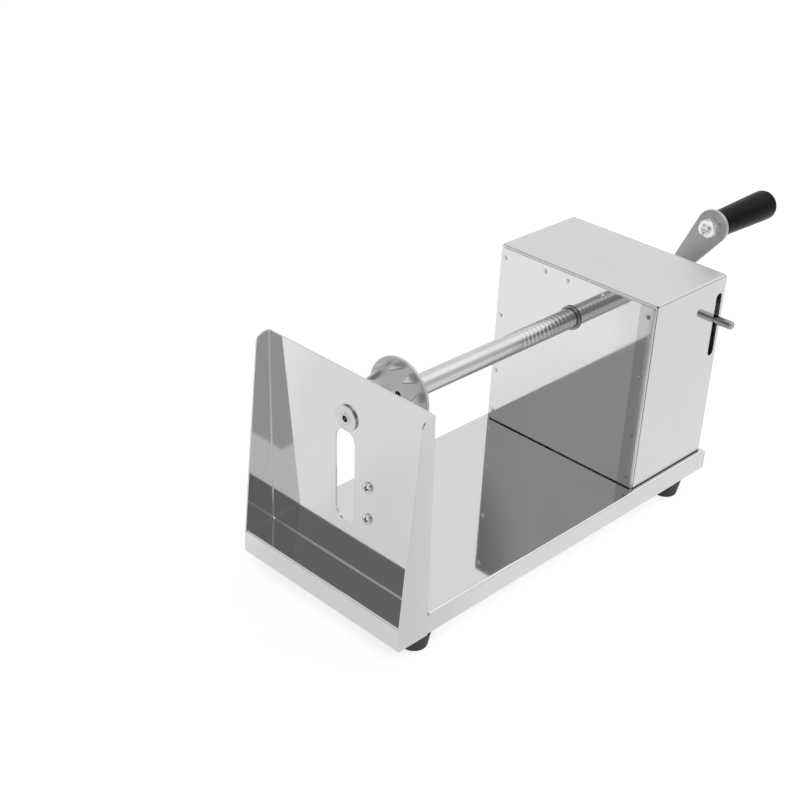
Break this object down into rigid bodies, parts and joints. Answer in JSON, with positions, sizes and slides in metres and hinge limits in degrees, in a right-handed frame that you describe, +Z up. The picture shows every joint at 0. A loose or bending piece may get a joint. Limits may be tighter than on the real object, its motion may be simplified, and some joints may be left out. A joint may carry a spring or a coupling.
{
  "type": "tornado potato cutter",
  "caption": "Hand cranked spiral cutter: a screw shaft with a toothed disc feeds a potato onto an upright blade on a folded steel base.",
  "frame": {"origin": "on the table, under the middle of the bounding box", "axes": "+X along the shaft from the blade to the crank, +Y to the side away from the release pin, +Z up"},
  "size_m": [0.413, 0.151, 0.19],
  "materials": {
    "polished_sheet": "mirror polished stainless sheet",
    "turned_steel": "bright turned stainless bar and tube",
    "arm_steel": "satin steel plate",
    "blade_steel": "ground knife steel with a bright bevel",
    "plated_steel": "bright plated fasteners",
    "spring_steel": "spring steel wire",
    "bronze": "sintered bronze",
    "black_rubber": "moulded rubber",
    "black_plastic": "satin moulded plastic",
    "nylon": "natural nylon"
  },
  "bodies": {
    "frame": {"base_tray": "polished_sheet", "blade_stand": "polished_sheet", "blade": "blade_steel", "skewer_guide": "turned_steel", "blade_screws": "plated_steel", "blade_nuts": "plated_steel", "stand_rivets": "plated_steel", "rubber_foot_front_right": "black_rubber", "rubber_foot_front_left": "black_rubber", "rubber_foot_back_right": "black_rubber", "rubber_foot_back_left": "black_rubber", "foot_screws": "plated_steel", "foot_nuts": "plated_steel", "casing_shell": "polished_sheet", "casing_front_panel": "polished_sheet", "casing_back_panel": "polished_sheet", "front_panel_rivets": "plated_steel", "back_panel_rivets": "plated_steel", "shelf_rivets": "plated_steel", "casing_screws": "plated_steel", "casing_nuts": "plated_steel", "front_bush": "turned_steel", "back_bush": "turned_steel", "pivot_screw": "turned_steel", "pivot_spacer": "turned_steel", "pivot_nut": "plated_steel", "spring_shelf": "arm_steel", "return_spring": "spring_steel"},
    "buffer": {"buffer_washer": "nylon"},
    "spindle": {"screw_shaft": "turned_steel", "pusher_disc": "turned_steel", "snap_ring": "spring_steel", "crank_arm": "arm_steel", "hub_washer": "plated_steel", "hub_nut": "plated_steel", "dome_nut": "plated_steel", "grip_washer": "plated_steel", "grip_bolt": "plated_steel"},
    "grip": {"grip": "black_plastic"},
    "lever": {"lever_plate": "arm_steel", "half_nut": "bronze", "nut_screws": "plated_steel", "release_pin": "turned_steel", "pin_nuts": "plated_steel"}
  },
  "joints": [
    {"name": "shaft_feed", "type": "slide", "parent": "frame", "child": "buffer", "axis": [1, 0, 0], "range_m": [-0.0201, 0.0961]},
    {"name": "crank_turn", "type": "hinge", "parent": "buffer", "child": "spindle", "pos_m": [0.1355, 0.0055, 0.1335], "axis": [1, 0, 0], "range_deg": [-1800, 8640]},
    {"name": "grip_spin", "type": "hinge", "parent": "spindle", "child": "grip", "pos_m": [0.1735, -0.02175, 0.17779], "axis": [1, 0, 0], "continuous": true},
    {"name": "release_press", "type": "hinge", "parent": "frame", "child": "lever", "pos_m": [0.0895, 0.0535, 0.1255], "axis": [1, 0, 0], "range_deg": [0, 11.5], "stiffness_Nm_per_rad": 1.5, "springref_deg": -8.59, "deforming": ["return_spring"]}
  ],
  "couplings": [
    {"joint": "shaft_feed", "follows": "crank_turn", "m_per_rad": 0.00063662}
  ]
}
